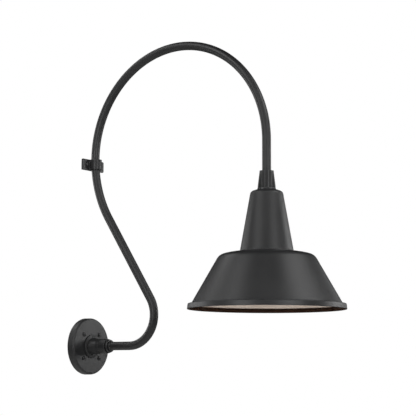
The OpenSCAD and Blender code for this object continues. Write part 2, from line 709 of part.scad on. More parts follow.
// Cast fitter: a round body with tapering fins on a flange, bored for the tube and the nipple
module shade_fitter() {
    body_r = fitter_body_d / 2;
    rim_bevel = 1;
    fin_root_r = body_r - 1.5;
    fin_foot_z = flange_top_z - 1;
    fin_top_z = fitter_top_z - rim_bevel - 0.2;
    body = [[nipple_d / 2 + slip, fitter_z, 0], [fitter_flange_d / 2, fitter_z, 0.8],
            [fitter_flange_d / 2, flange_top_z, 1.4], [body_r, flange_top_z, 1.2],
            [body_r, fitter_top_z - rim_bevel, 0.6], [body_r - rim_bevel, fitter_top_z, 0.4],
            [tube_r + slip, fitter_top_z, 0], [tube_r + slip, fitter_step_z, 0],
            [nipple_d / 2 + slip, fitter_step_z, 0]];
    fin = [[fin_root_r, fin_foot_z, 0], [fin_foot_d / 2, fin_foot_z, 0],
           [fin_top_d / 2, fin_top_z, 0.6], [fin_root_r, fin_top_z, 0]];
    color(black) on_drop() difference() {
        union() {
            turned(rounded(body));
            for (i = [0:fin_count - 1]) rotate([0, 0, fin_turn + i * 360 / fin_count])
                rotate([90, 0, 0]) translate([0, 0, -fin_t / 2])
                    linear_extrude(height = fin_t) polygon(rounded(fin));
        }
        translate([0, 0, groove_z]) rotate([0, 90, 0]) translate([0, 0, tube_r - over])
            cylinder(h = fitter_flange_d, r = grub_d / 2 + slip, $fn = 48);
    }
}

// Grub screw whose point rides in the tube's groove, so that the shade turns but can't drop
module fitter_grub_screw() {
    point_r = tube_r - groove_depth + 2 * slip;
    sunk = 0.2;
    color(steel) on_drop(groove_z) rotate([0, 90, 0]) translate([0, 0, point_r])
        grub(grub_d, grub_point_d, groove_depth + 3 * slip, fitter_body_d / 2 - point_r - sunk);
}

module shade_seat() {
    color("#232323") on_drop(shade_top_z) ring(seat_d / 2, nipple_d / 2 + screw_clear, seat_t);
}

// Spun steel shade with a hemmed rim
module shade() {
    outside = rounded(shade_path);
    inside = rounded(beside(shade_path, shade_wall));
    hem_z = rim_z + hem_h;
    band_r = rim_d / 2 - shade_wall;
    hem_r = band_r - shade_wall;
    hem = [[band_r - rim_flare * hem_h / rim_h, hem_z], [hem_r - rim_flare * hem_h / rim_h, hem_z],
           [hem_r, rim_z + 0.8], [hem_r + 0.5, rim_z + 0.2], [hem_r + 1, rim_z],
           [rim_d / 2 - 0.6, rim_z]];
    color(black) on_drop() turned(concat(
        [for (i = [0:len(outside) - 2]) outside[i]],
        [[rim_d / 2 - rim_flare * 0.6 / rim_h, rim_z + 0.6]],
        [for (i = [1:len(hem)]) hem[len(hem) - i]],
        [for (i = [1:len(inside) - 1]) inside[len(inside) - 1 - i]]));
}

module nipple() {
    color(steel) on_drop(nipple_z) ring(nipple_d / 2, nipple_bore / 2, nipple_l);
}

module nipple_washer() {
    color(steel) on_drop(washer_z)
        ring(nipple_washer_d / 2, nipple_d / 2 + screw_clear, nipple_washer_t);
}

module nipple_nut() {
    color(steel) on_drop(nipple_nut_z) difference() {
        cylinder(h = nipple_nut_t, r = nipple_nut_af / 2 / cos(30), $fn = 6);
        translate([0, 0, -over])
            cylinder(h = nipple_nut_t + 2 * over, r = nipple_d / 2 + slip, $fn = 96);
    }
}

module at_holder_screws(z) {
    for (s = [-1, 1]) on_drop(z) translate([0, s * holder_screw_spacing / 2, 0]) children();
}

// Steel cap that screws onto the nipple and carries the ceramic holder
module holder_cap() {
    bore_r = nipple_d / 2 + slip;
    plate_top_z = holder_top_z + holder_cap_t;
    profile = [[bore_r, holder_top_z, 0], [holder_cap_d / 2, holder_top_z, 0],
               [holder_cap_d / 2, plate_top_z, 1], [holder_boss_d / 2, plate_top_z, 1.5],
               [holder_boss_d / 2, holder_boss_top_z, 1], [bore_r, holder_boss_top_z, 0]];
    color(steel) difference() {
        on_drop() turned(rounded(profile));
        at_holder_screws(holder_top_z - over)
            cylinder(h = holder_cap_t + 2 * over, r = holder_screw_d / 2 + slip, $fn = 48);
    }
}

// Glazed ceramic lamp holder with a deep cavity for the screw shell
module lamp_holder() {
    recess_z = cavity_top_z + contact_recess;
    profile = [[0, recess_z, 0], [contact_hole_r, recess_z, 0], [contact_hole_r, cavity_top_z, 0],
               [cavity_r, cavity_top_z, 0], [cavity_r, holder_z, 0], [holder_d / 2, holder_z, 2],
               [holder_d / 2, holder_top_z, 1.5], [0, holder_top_z, 0]];
    color(white) difference() {
        on_drop() turned(rounded(profile));
        at_holder_screws(holder_z - over)
            cylinder(h = holder_h + 2 * over, r = holder_screw_d / 2 + 3 * slip, $fn = 48);
        at_holder_screws(holder_z - over)
            cylinder(h = holder_screw_seat + over, r = holder_screw_head_d / 2 + 2 * slip, $fn = 48);
        for (s = [-1, 1]) on_drop(holder_top_z - tail_hole_depth)
            translate([s * lead_spacing / 2, 0, 0])
                cylinder(h = tail_hole_depth + over, r = lead_d / 2 + 2 * slip, $fn = 48);
    }
}

module screw_shell() {
    color(brass) on_drop(shell_z) difference() {
        cylinder(h = cavity_top_z - shell_z, r = shell_bore / 2 + shell_wall, $fn = fine);
        translate([0, 0, -over])
            cylinder(h = cavity_top_z - shell_z - shell_wall + over, r = shell_bore / 2, $fn = fine);
        cylinder(h = holder_h, r = contact_hole_r, $fn = 96);
    }
}

// Brass contact in the ceramic's recess. It reaches down to the end of the shell's bore
module centre_contact() {
    plate_t = 1;
    plate_z = cavity_top_z + contact_recess - plate_t;
    tip_z = cavity_top_z - shell_wall;
    color(brass) on_drop() {
        translate([0, 0, plate_z]) cylinder(h = plate_t, r = 6, $fn = 64);
        translate([0, 0, tip_z]) cylinder(h = plate_z - tip_z + touch, r = 3.4, $fn = 64);
    }
}

module holder_screws() {
    head_h = 2;
    thread_l = holder_h + holder_cap_t - holder_screw_seat - end_gap;
    color(brass) at_holder_screws(holder_z + holder_screw_seat) rotate([180, 0, 0])
        screw(holder_screw_d, thread_l, holder_screw_head_d, head_h);
}

// Lead from the bush down through the nipple into the ceramic
module lead_tail(side) {
    tail_z = holder_top_z - tail_hole_depth + 0.2;
    on_drop(tail_z) translate([-side * lead_spacing / 2, 0, 0])
        cylinder(h = fitter_step_z - tail_z, r = lead_d / 2, $fn = 64);
}
module line_tail() color("#151515") lead_tail(1);
module neutral_tail() color(white) lead_tail(-1);

wall_gasket();
mounting_plate();
canopy();
canopy_screws();
hub();
hub_nut();
hub_grub_screw();
ferrule();
lock_nut();
ground_screw();
ground_wire();
gooseneck_tube();
tube_bushing();
line_lead();
neutral_lead();
standoff();
wall_strap();
strap_screws();
shade_fitter();
fitter_grub_screw();
shade_seat();
shade();
nipple();
nipple_washer();
nipple_nut();
holder_cap();
lamp_holder();
screw_shell();
centre_contact();
holder_screws();
line_tail();
neutral_tail();
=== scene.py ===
# A gooseneck barn light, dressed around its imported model. Metres; +Z is up and -Y out of the wall.
# The sections follow the light as it is put together, from the wall out to the lamp holder.
# In names, _r is a radius, _t a thickness and _w a distance out from the wall.
import math

import bpy
import numpy as np
from mathutils import Matrix, Vector


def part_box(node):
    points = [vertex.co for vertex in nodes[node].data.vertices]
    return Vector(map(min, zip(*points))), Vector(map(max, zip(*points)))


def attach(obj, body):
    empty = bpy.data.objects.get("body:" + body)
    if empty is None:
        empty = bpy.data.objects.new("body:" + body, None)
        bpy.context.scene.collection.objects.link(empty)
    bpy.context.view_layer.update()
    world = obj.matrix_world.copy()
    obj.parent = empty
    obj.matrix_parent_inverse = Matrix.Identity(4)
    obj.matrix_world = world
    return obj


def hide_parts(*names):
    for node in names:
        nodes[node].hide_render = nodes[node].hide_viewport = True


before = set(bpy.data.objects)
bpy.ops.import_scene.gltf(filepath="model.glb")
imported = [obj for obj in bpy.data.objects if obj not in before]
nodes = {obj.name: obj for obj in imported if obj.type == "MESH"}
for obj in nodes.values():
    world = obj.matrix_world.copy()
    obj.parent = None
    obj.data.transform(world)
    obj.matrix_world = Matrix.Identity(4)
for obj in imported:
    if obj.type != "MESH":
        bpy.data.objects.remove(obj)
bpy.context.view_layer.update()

# The camera stands low and to the left of the light and looks up at it through a long lens. It is
# set so that the origin, the middle of the canopy's back, falls on its own pixel of the photograph.
frame_px = 416
focal_px = 1407.65
origin_px = (85.539, 346.491)
origin_depth = 3.2110
view_heading = math.radians(55.1)
view_pitch = math.radians(7.042)
view_roll = math.radians(0.158)

camera_data = bpy.data.cameras.new("camera")
camera = bpy.data.objects.new("camera", camera_data)
bpy.context.scene.collection.objects.link(camera)
bpy.context.scene.camera = camera
camera_data.sensor_width = 36
camera_data.lens = focal_px * camera_data.sensor_width / frame_px
turned = (Matrix.Rotation(-view_heading, 4, "Z") @ Matrix.Rotation(math.pi / 2 + view_pitch, 4, "X")
          @ Matrix.Rotation(view_roll, 4, "Z"))
origin_seen = Vector(((origin_px[0] - frame_px / 2) / focal_px,
                      (frame_px / 2 - origin_px[1]) / focal_px, -1)) * origin_depth
camera.matrix_world = Matrix.Translation(-(turned.to_3x3() @ origin_seen)) @ turned

# The studio: a pale floor well below the light, a surround that is white to the camera and nearly
# dark to all else, and two rings of softboxes, as (degrees to the camera's right, radiance). The
# low ring has a gap by the camera, so what faces it stays darker.
floor_r, floor_z, floor_middle_y, floor_sides = 4.0, -1.0, -0.3, 96
surround_light = 0.02
light_middle = Vector((0, -0.27, 0.33))
softbox_side, softbox_distance = 0.9, 2.4
low_rise, high_rise = math.radians(5), math.radians(40)
low_ring = ((-135, 2), (-105, 4), (-32, 6.5), (32, 6.5), (105, 5.5), (135, 1))
high_ring = ((-120, 2.6), (-60, 5.7), (0, 2.3), (60, 5.1), (90, 2.9))


def new_material(name, **shader):
    """A material with one Principled BSDF whose named sockets take the given plain values."""
    material = bpy.data.materials.new(name)
    material.use_nodes = True
    bsdf = material.node_tree.nodes["Principled BSDF"]
    for socket, value in shader.items():
        bsdf.inputs[socket.replace("_", " ")].default_value = value
    return material, material.node_tree, bsdf


def mesh_object(name, points, faces, smooth=True):
    """A mesh object at the origin from an array of points and an array or list of faces."""
    mesh = bpy.data.meshes.new(name)
    mesh.from_pydata(np.asarray(points).tolist(), [], [tuple(map(int, f)) for f in faces])
    mesh.update()
    if smooth:
        mesh.shade_smooth()
    obj = bpy.data.objects.new(name, mesh)
    bpy.context.scene.collection.objects.link(obj)
    return obj


def part_for_camera(tree, lighting, seen, output):
    """Shows one shader to the camera's own rays and another to all the rest."""
    ray = tree.nodes.new("ShaderNodeLightPath")
    either = tree.nodes.new("ShaderNodeMixShader")
    tree.links.new(ray.outputs["Is Camera Ray"], either.inputs[0])
    tree.links.new(lighting.outputs[0], either.inputs[1])
    tree.links.new(seen.outputs[0], either.inputs[2])
    tree.links.new(either.outputs[0], tree.nodes[output].inputs["Surface"])


def softbox(name, round_angle, rise, radiance):
    """A square soft panel that faces the light from round_angle, in degrees, and from rise above."""
    data = bpy.data.lights.new(name, "AREA")
    data.shape = "SQUARE"
    data.size = softbox_side
    data.energy = radiance * math.pi * softbox_side ** 2
    lamp = bpy.data.objects.new(name, data)
    bpy.context.scene.collection.objects.link(lamp)
    across = view_heading - math.radians(round_angle)
    way = Vector((-math.sin(across) * math.cos(rise), -math.cos(across) * math.cos(rise), math.sin(rise)))
    lamp.location = light_middle + way * softbox_distance
    lamp.rotation_euler = (-way).to_track_quat("-Z", "Y").to_euler()


floor_turn = np.linspace(0, 2 * np.pi, floor_sides, endpoint=False)
floor_points = np.stack([floor_r * np.cos(floor_turn), floor_r * np.sin(floor_turn) + floor_middle_y,
                         np.full(floor_sides, floor_z)], 1)
floor = mesh_object("floor", floor_points, [range(floor_sides)], False)
floor_paint, floor_tree, floor_bsdf = new_material("pale_floor", Roughness=0.8)
floor_bsdf.inputs["Base Color"].default_value = (0.86, 0.86, 0.85, 1)
floor_shine = floor_tree.nodes.new("ShaderNodeEmission")
floor_shine.inputs["Color"].default_value = (0.8, 0.8, 0.79, 1)
part_for_camera(floor_tree, floor_bsdf, floor_shine, "Material Output")
floor.data.materials.append(floor_paint)

world = bpy.data.worlds.new("surround")
bpy.context.scene.world = world
world.use_nodes = True
sky = world.node_tree
lit = sky.nodes["Background"]
lit.inputs["Color"].default_value = (1, 1, 1, 1)
lit.inputs["Strength"].default_value = surround_light
seen = sky.nodes.new("ShaderNodeBackground")
seen.inputs["Color"].default_value = (1, 1, 1, 1)
seen.inputs["Strength"].default_value = 1.0
part_for_camera(sky, lit, seen, "World Output")
bpy.context.scene.view_settings.view_transform = "Standard"

for round_angle, radiance in low_ring:
    softbox("low_softbox", round_angle, low_rise, radiance)
for round_angle, radiance in high_ring:
    softbox("high_softbox", round_angle, high_rise, radiance)

# The gasket: a ring of soft black closed-cell foam, glued behind the canopy's rim to keep the rain
# out of the junction box. Its cut skin is full of small pits.
foam_dark, foam_pale, foam_pit = (0.02, 0.02, 0.021), (0.035, 0.035, 0.036), 0.0006


def group_of(name, inputs, outputs):
    """A shader node group with named inputs, as (name, kind, value), and outputs, as (name, kind)."""
    group = bpy.data.node_groups.new(name, "ShaderNodeTree")
    for label, kind, value in inputs:
        socket = group.interface.new_socket(label, in_out="INPUT", socket_type="NodeSocket" + kind)
        if value is not None:
            socket.default_value = value
    for label, kind in outputs:
        group.interface.new_socket(label, in_out="OUTPUT", socket_type="NodeSocket" + kind)
    return group, group.nodes.new("NodeGroupInput"), group.nodes.new("NodeGroupOutput")


def noise(tree, place, scale, detail, roughness):
    """A noise texture's value at a place, with its scale from a socket."""
    node = tree.nodes.new("ShaderNodeTexNoise")
    node.inputs["Detail"].default_value = detail
    node.inputs["Roughness"].default_value = roughness
    tree.links.new(place, node.inputs["Vector"])
    tree.links.new(scale, node.inputs["Scale"])
    return node.outputs["Fac"]


def blend_colours(tree, share, first, second):
    """A colour between two plain ones, by a mask."""
    node = tree.nodes.new("ShaderNodeMix")
    node.data_type = "RGBA"
    tree.links.new(share, node.inputs["Factor"])
    for label, colour in (("A", first), ("B", second)):
        socket = [s for s in node.inputs if s.name == label and s.type == "RGBA"][0]
        socket.default_value = (*colour, 1)
    return [s for s in node.outputs if s.type == "RGBA"][0]


def stretched(tree, value, factor, offset):
    """A socket's value times a factor, plus an offset."""
    node = tree.nodes.new("ShaderNodeMath")
    node.operation = "MULTIPLY_ADD"
    tree.links.new(value, node.inputs[0])
    node.inputs[1].default_value = factor
    node.inputs[2].default_value = offset
    return node.outputs[0]


# Grain: small bumps of one size and slower cloudy changes, both from Object coordinates.
# Fine is the bumps' height from 0 to 1 and Cloud the slow change from 0 to 1.
grain, grain_in, grain_out = group_of(
    "surface_grain",
    [("Place", "Vector", None), ("Fine Scale", "Float", 900.0), ("Cloud Scale", "Float", 14.0)],
    [("Fine", "Float"), ("Cloud", "Float")])
grain.links.new(noise(grain, grain_in.outputs["Place"], grain_in.outputs["Fine Scale"], 2.0, 0.5),
                grain_out.inputs["Fine"])
grain.links.new(noise(grain, grain_in.outputs["Place"], grain_in.outputs["Cloud Scale"], 4.0, 0.6),
                grain_out.inputs["Cloud"])


def grained(name, dark, pale, rough, fine_scale, cloud_scale, bump, bump_height=0.0003, **shader):
    """A material whose colour and roughness drift between two values with slow clouds and whose
    surface has fine bumps. dark and pale are its two colours and rough its two roughnesses."""
    material, tree, bsdf = new_material(name, **shader)
    place = tree.nodes.new("ShaderNodeTexCoord").outputs["Object"]
    texture = tree.nodes.new("ShaderNodeGroup")
    texture.node_tree = grain
    texture.inputs["Fine Scale"].default_value = fine_scale
    texture.inputs["Cloud Scale"].default_value = cloud_scale
    tree.links.new(place, texture.inputs["Place"])
    spread = tree.nodes.new("ShaderNodeMapRange")
    spread.inputs["From Min"].default_value = 0.3
    spread.inputs["From Max"].default_value = 0.7
    tree.links.new(texture.outputs["Cloud"], spread.inputs["Value"])
    tree.links.new(blend_colours(tree, spread.outputs[0], dark, pale), bsdf.inputs["Base Color"])
    tree.links.new(stretched(tree, spread.outputs[0], rough[1] - rough[0], rough[0]),
                   bsdf.inputs["Roughness"])
    raised = tree.nodes.new("ShaderNodeBump")
    raised.inputs["Strength"].default_value = bump
    raised.inputs["Distance"].default_value = bump_height
    tree.links.new(texture.outputs["Fine"], raised.inputs["Height"])
    tree.links.new(raised.outputs["Normal"], bsdf.inputs["Normal"])
    return material


def dress(material, *names):
    """Gives CAD nodes a material in place of the one that they came with."""
    for name in names:
        nodes[name].data.materials.clear()
        nodes[name].data.materials.append(material)


dress(grained("foam", foam_dark, foam_pale, (0.85, 0.97), 1400.0, 60.0, 0.9, foam_pit), "wall_gasket")

# The mounting plate: pressed steel with a bright zinc coat, screwed to the junction box.
# The same coat is on the nuts, the nipple, its washer and the lamp holder's cap.
zinc_dark, zinc_pale = (0.5, 0.51, 0.53), (0.66, 0.66, 0.68)
zinc = grained("zinc_plated_steel", zinc_dark, zinc_pale, (0.24, 0.4), 420.0, 90.0, 0.12, Metallic=1.0)
dress(zinc, "mounting_plate", "hub_nut", "nipple", "nipple_washer", "nipple_nut", "holder_cap")

# The canopy: a casting under a satin black powder coat, whose skin is slightly pebbled. It covers
# the junction box and carries the hub.
cast_dark, cast_pale = (0.013, 0.0132, 0.0138), (0.019, 0.0192, 0.0198)
cast_black = grained("cast_powder_coat", cast_dark, cast_pale, (0.4, 0.48), 700.0, 26.0, 0.18)
dress(cast_black, "canopy")
face_w = -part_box("canopy")[0].y

# The canopy's screws: four pan-head machine screws with a cross recess, blackened steel, driven
# through the canopy into the plate. The grub screws of hub and fitter have the same finish.
oxide_dark, oxide_pale = (0.012, 0.012, 0.013), (0.02, 0.02, 0.021)
screw_black = grained("black_oxide", oxide_dark, oxide_pale, (0.32, 0.42), 900.0, 60.0, 0.1)
dress(screw_black, "hub_grub_screw", "fitter_grub_screw")
head_r, head_h, head_side_h = 0.0048, 0.0032, 0.0015
head_rings, head_columns, ring_crowding = 16, 56, 0.85
recess_l, recess_half, recess_depth, recess_edge = 0.0025, 0.0006, 0.0008, 0.0003
canopy_shank_r, screw_end_gap = 0.002, 0.0003
first_screw_turn = 0.4
sharp_angle = math.radians(40)


def grid_faces(rows, columns, closed_rows):
    """Quads between neighbouring rows of a grid whose columns close on themselves."""
    r, c = np.meshgrid(np.arange(rows if closed_rows else rows - 1), np.arange(columns), indexing="ij")
    next_r, next_c = (r + 1) % rows, (c + 1) % columns
    corners = ((r, c), (r, next_c), (next_r, next_c), (next_r, c))
    return np.stack([row * columns + column for row, column in corners], -1).reshape(-1, 4)


def closed_mesh(name, rings, poles=None):
    """A closed mesh through rings of points (ring, column, xyz). The rings close on themselves, or
    run between two poles, the points that the first and the last shrink to. A negative sum of
    a . (b x c) over its triangles means that its faces point inwards, so they are turned round."""
    count, columns = rings.shape[:2]
    points = rings.reshape(-1, 3)
    quads = grid_faces(count, columns, poles is None)
    fans = np.zeros((0, 3), int)
    if poles is not None:
        here = np.arange(columns)
        after = (here + 1) % columns
        pole, last = len(points), (count - 1) * columns
        points = np.concatenate([points, np.asarray(poles)])
        fans = np.concatenate([np.stack([np.full(columns, pole), after, here], 1),
                               np.stack([np.full(columns, pole + 1), last + here, last + after], 1)])
    halves = np.concatenate([quads[:, [0, 1, 2]], quads[:, [0, 2, 3]], fans])
    a, b, c = (points[halves[:, i]] for i in range(3))
    if np.sum(a * np.cross(b, c)) < 0:
        quads, fans = quads[:, ::-1], fans[:, ::-1]
    made = mesh_object(name, points, quads.tolist() + fans.tolist())
    made.data.set_sharp_from_angle(angle=sharp_angle)
    return made


def joined(name, pieces):
    """One object from several, in place of them."""
    with bpy.context.temp_override(active_object=pieces[0], selected_editable_objects=pieces):
        bpy.ops.object.join()
    pieces[0].name = pieces[0].data.name = name
    return pieces[0]


def screw_rings(shank_r, shank_l):
    """Rings and poles of a pan-head screw whose head stands on h = 0. The head's top is
    h = side + (height - side) sqrt(1 - (r / head_r)^2), less a cross recess. Each arm of the cross
    fades at its edges by 3 x^2 - 2 x^3."""
    share = np.linspace(0, 1, head_rings + 1)[1:] ** ring_crowding
    angle = np.linspace(0, 2 * np.pi, head_columns, endpoint=False)
    r, a = np.meshgrid(share * head_r, angle, indexing="ij")

    def arm(along, across):
        inside = (np.clip((recess_l - along) / recess_edge, 0, 1)
                  * np.clip((recess_half - across) / recess_edge, 0, 1))
        return inside * inside * (3 - 2 * inside)

    u, v = abs(r * np.cos(a)), abs(r * np.sin(a))
    top = head_side_h + (head_h - head_side_h) * np.sqrt(np.clip(1 - (r / head_r) ** 2, 0, 1))
    top = top - recess_depth * np.maximum(arm(u, v), arm(v, u))
    side = np.array([[head_r, head_side_h / 2], [head_r, 0], [shank_r, 0], [shank_r, -shank_l]])
    r = np.concatenate([r, np.repeat(side[:, :1], len(angle), 1)])
    h = np.concatenate([top, np.repeat(side[:, 1:], len(angle), 1)])
    rings = np.stack([r * np.cos(angle), r * np.sin(angle), h], -1)
    return rings, np.array([[0, 0, head_h - recess_depth], [0, 0, -shank_l]])


def screws_from_wall(name, places, seat_w, shank_r):
    """Pan-head screws at places (x, z), each turned by 1 radian more than the one before, with
    their heads on the plane seat_w out from the wall."""
    rings, poles = screw_rings(shank_r, seat_w - screw_end_gap)
    made = []
    for number, (x, z) in enumerate(places):
        c, s = math.cos(number + first_screw_turn), math.sin(number + first_screw_turn)
        placed = [np.stack([x + c * q[..., 0] - s * q[..., 1], -seat_w - q[..., 2],
                            z + s * q[..., 0] + c * q[..., 1]], -1) for q in (rings, poles)]
        made.append(closed_mesh(name, *placed))
    return joined(name, made)


canopy_screw_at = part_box("canopy_screws")[1].x - head_r
canopy_screw_places = [(sx * canopy_screw_at, sz * canopy_screw_at) for sx in (-1, 1) for sz in (-1, 1)]
canopy_screws = screws_from_wall("pan_head_screws", canopy_screw_places, face_w, canopy_shank_r)
canopy_screws.data.materials.append(screw_black)
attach(canopy_screws, "arm")
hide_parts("canopy_screws")

# The ground: a green lacquered screw in the canopy, and a bare copper wire that is hooked under
# its head and led round inside the canopy towards the wires' entry.
lacquer_dark, lacquer_pale = (0.02, 0.16, 0.05), (0.03, 0.22, 0.07)
copper_dark, copper_pale = (0.62, 0.24, 0.12), (0.78, 0.36, 0.2)
dress(grained("green_lacquer", lacquer_dark, lacquer_pale, (0.3, 0.45), 800.0, 80.0, 0.05), "ground_screw")
dress(grained("bare_copper", copper_dark, copper_pale, (0.22, 0.4), 800.0, 120.0, 0.05, Metallic=1.0),
      "ground_wire")

# The hub: turned and powder coated. A threaded stub goes through the canopy, then come a flat base
# ring with a groove, a long swelling body and a threaded nose. A grub screw holds the tube.
hub_low, hub_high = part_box("hub")
tube_r = -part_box("gooseneck_tube")[0].z
tube_wall, fit_gap = 0.0016, 0.00005
tube_bore_r, socket_r = tube_r - tube_wall, tube_r + fit_gap
hub_back_w, nose_end_w = -hub_high.y, -hub_low.y
base_extra, stub_r, nose_r, nose_h, stop_h = 0.0007, 0.0125, 0.013, 0.012, 0.004
base_r = hub_high.x + base_extra
hub_stop_w, neck_end_w = face_w + stop_h, nose_end_w - nose_h
base_side_h, base_face_h, base_face_l, groove_h = 0.0029, 0.0018, 0.0054, 0.0009
base_face_w = face_w + base_side_h + base_face_h
swell_r, swell_h, swell_curve = 0.0193, 0.0054, 0.006
waist_r, waist_h, neck_r, neck_h, waist_curve = 0.0178, 0.0134, 0.0164, 0.0226, 0.03
fine_edge, soft_edge, nose_edge, base_round = 0.0002, 0.0003, 0.0005, 0.0009
turned_columns, turned_step = 128, 0.0012
drill_columns, drill_overlap = 48, 0.001
nearly_straight = math.pi / 2 - 1e-4


def filleted(corners, steps=10):
    """A profile through corners (r, z, fillet): each inner corner becomes the arc of that radius
    that touches both of its sides, in even steps."""
    points = [np.array([corners[0][:2]])]
    for before, here, after in zip(corners, corners[1:], corners[2:]):
        b = np.array(here[:2])
        u, v = np.array(before[:2]) - b, np.array(after[:2]) - b
        u, v = u / np.linalg.norm(u), v / np.linalg.norm(v)
        half = math.acos(np.clip(u @ v, -1, 1)) / 2
        if not here[2] or half > nearly_straight:
            points.append(b[None])
            continue
        middle = b + (u + v) / np.linalg.norm(u + v) * here[2] / math.sin(half)
        first, last = (b + way * here[2] / math.tan(half) - middle for way in (u, v))
        start = math.atan2(first[1], first[0])
        sweep = (math.atan2(last[1], last[0]) - start + math.pi) % (2 * math.pi) - math.pi
        angle = start + sweep * np.linspace(0, 1, steps + 1)
        points.append(middle + here[2] * np.stack([np.cos(angle), np.sin(angle)], 1))
    points.append(np.array([corners[-1][:2]]))
    return np.concatenate(points)


def denser(profile, step):
    """The same profile with each straight stretch longer than step cut into even parts."""
    parts = [profile[:1]]
    for a, b in zip(profile, profile[1:]):
        count = max(1, math.ceil(np.linalg.norm(b - a) / step))
        parts.append(a + (b - a) * np.linspace(0, 1, count + 1)[1:, None])
    return np.concatenate(parts)


def spun(name, profile, columns, drop=None):
    """A closed profile (r, h) turned a full turn. About the arm's line out of the wall a point is
    (r cos a, -h, r sin a); about the drop, given as its (x, y), it is (x + r cos a, y + r sin a, h)."""
    around = np.linspace(0, 2 * np.pi, columns, endpoint=False)
    r, h = profile[:, :1], profile[:, 1:]
    across, up, level = r * np.cos(around), r * np.sin(around), h + np.zeros_like(around)
    if drop is None:
        return closed_mesh(name, np.stack([across, -level, up], -1))
    return closed_mesh(name, np.stack([drop[0] + across, drop[1] + up, level], -1))


def drilled(piece, start, end, r):
    """Cuts a round hole of radius r, from start to end, out of a closed piece."""
    start, end = Vector(start), Vector(end)
    turned_to = np.array((end - start).to_track_quat("Z", "Y").to_matrix())
    around = np.linspace(0, 2 * np.pi, drill_columns, endpoint=False)
    ring = np.stack([r * np.cos(around), r * np.sin(around), np.zeros(drill_columns)], 1)
    rings = np.stack([ring, ring + [0, 0, (end - start).length]]) @ turned_to.T + np.array(start)
    cutter = closed_mesh("cutter", rings, [start, end])
    hole = piece.modifiers.new("hole", "BOOLEAN")
    hole.operation, hole.solver, hole.object = "DIFFERENCE", "EXACT", cutter
    solid = bpy.data.meshes.new_from_object(piece.evaluated_get(bpy.context.evaluated_depsgraph_get()))
    piece.modifiers.clear()
    piece.data = solid
    solid.set_sharp_from_angle(angle=sharp_angle)
    bpy.data.objects.remove(cutter)


hub_profile = [
    (tube_bore_r, hub_back_w, 0), (stub_r, hub_back_w, 0), (stub_r, face_w, 0),
    (base_r, face_w, soft_edge), (base_r, face_w + base_side_h, base_round),
    (base_r - base_face_l, base_face_w, soft_edge),
    (base_r - base_face_l, base_face_w - groove_h, fine_edge),
    (swell_r, base_face_w - groove_h, fine_edge), (swell_r, face_w + swell_h, swell_curve),
    (waist_r, face_w + waist_h, waist_curve), (neck_r, face_w + neck_h, waist_curve),
    (neck_r, neck_end_w, nose_edge), (nose_r, neck_end_w, 0), (nose_r, nose_end_w, nose_edge),
    (socket_r, nose_end_w, 0), (socket_r, hub_stop_w, 0), (tube_bore_r, hub_stop_w, 0),
    (tube_bore_r, hub_back_w, 0)]
hub = spun("turned_hub", denser(filleted(hub_profile), turned_step)[:-1], turned_columns)
hub_grub_low, hub_grub_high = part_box("hub_grub_screw")
hub_grub_r = (hub_grub_high.x - hub_grub_low.x) / 2
hub_grub_y = (hub_grub_low.y + hub_grub_high.y) / 2
drilled(hub, (0, hub_grub_y, drill_overlap - tube_r), (0, hub_grub_y, -base_r), hub_grub_r + fit_gap)
hub.data.materials.append(cast_black)
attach(hub, "arm")
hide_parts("hub")

# The lock nut: it screws onto the hub's nose and closes on the tube. Turned steel under the same
# powder coat: a straight body, a groove, a ring, a second groove and a small collar. The two
# grooves get a darker, duller coat as painted shade.
nut_gap, nut_seat_h = 0.00002, 0.004
nut_start_w, nut_seat_w = neck_end_w + nut_gap, nose_end_w + nut_seat_h
nut_r, nut_body_end_w, nut_start_round, nut_body_round = 0.0163, 0.0662, 0.0006, 0.0010
inner_groove_start_r, inner_groove_end_r, inner_groove_lean = 0.0136, 0.0134, 0.0006
ring_start_r, ring_end_r, ring_w, ring_h = 0.0150, 0.0141, 0.0698, 0.0032
ring_start_round, ring_end_round = 0.0007, 0.0008
outer_groove_start_r, outer_groove_end_r, outer_groove_lean = 0.0112, 0.0109, 0.0004
lip_lean = 0.0003
collar_start_r, collar_end_r, collar_w, nut_end_w = 0.0119, 0.0106, 0.0760, 0.0783
collar_round, nut_end_round = 0.0005, 0.0006
inner_shade_r, outer_shade_r = 0.0145, 0.0118
inner_shade_gap, outer_shade_gap, lip_gap = 0.0004, 0.0002, 0.0001

nut_profile = [
    (nose_r + fit_gap, nut_start_w, 0), (nut_r, nut_start_w, nut_start_round),
    (nut_r, nut_body_end_w, nut_body_round),
    (inner_groove_start_r, nut_body_end_w + inner_groove_lean, soft_edge),
    (inner_groove_end_r, ring_w - lip_lean, soft_edge),
    (ring_start_r, ring_w, ring_start_round), (ring_end_r, ring_w + ring_h, ring_end_round),
    (outer_groove_start_r, ring_w + ring_h + outer_groove_lean, fine_edge),
    (outer_groove_end_r, collar_w - lip_lean, fine_edge),
    (collar_start_r, collar_w, collar_round), (collar_end_r, nut_end_w, nut_end_round),
    (socket_r, nut_end_w, 0), (socket_r, nut_seat_w, 0),
    (nose_r + fit_gap, nut_seat_w, 0), (nose_r + fit_gap, nut_start_w, 0)]
lock_nut = spun("ringed_lock_nut", denser(filleted(nut_profile, 6), turned_step)[:-1], turned_columns)
# Painted shade: a near-black, barely glossy coat that darkens the lock nut's two grooves.
painted_groove_shade = grained("nut_groove_painted_shade", (0.003, 0.003, 0.003), (0.006, 0.006, 0.006), (0.6, 0.7),
                       700.0, 26.0, 0.2, Specular_IOR_Level=0.2)


def face_middles(piece):
    """The middles of a piece's faces, as three arrays x, y and z."""
    middle = np.zeros(3 * len(piece.data.polygons))
    piece.data.polygons.foreach_get("center", middle)
    return middle.reshape(-1, 3).T


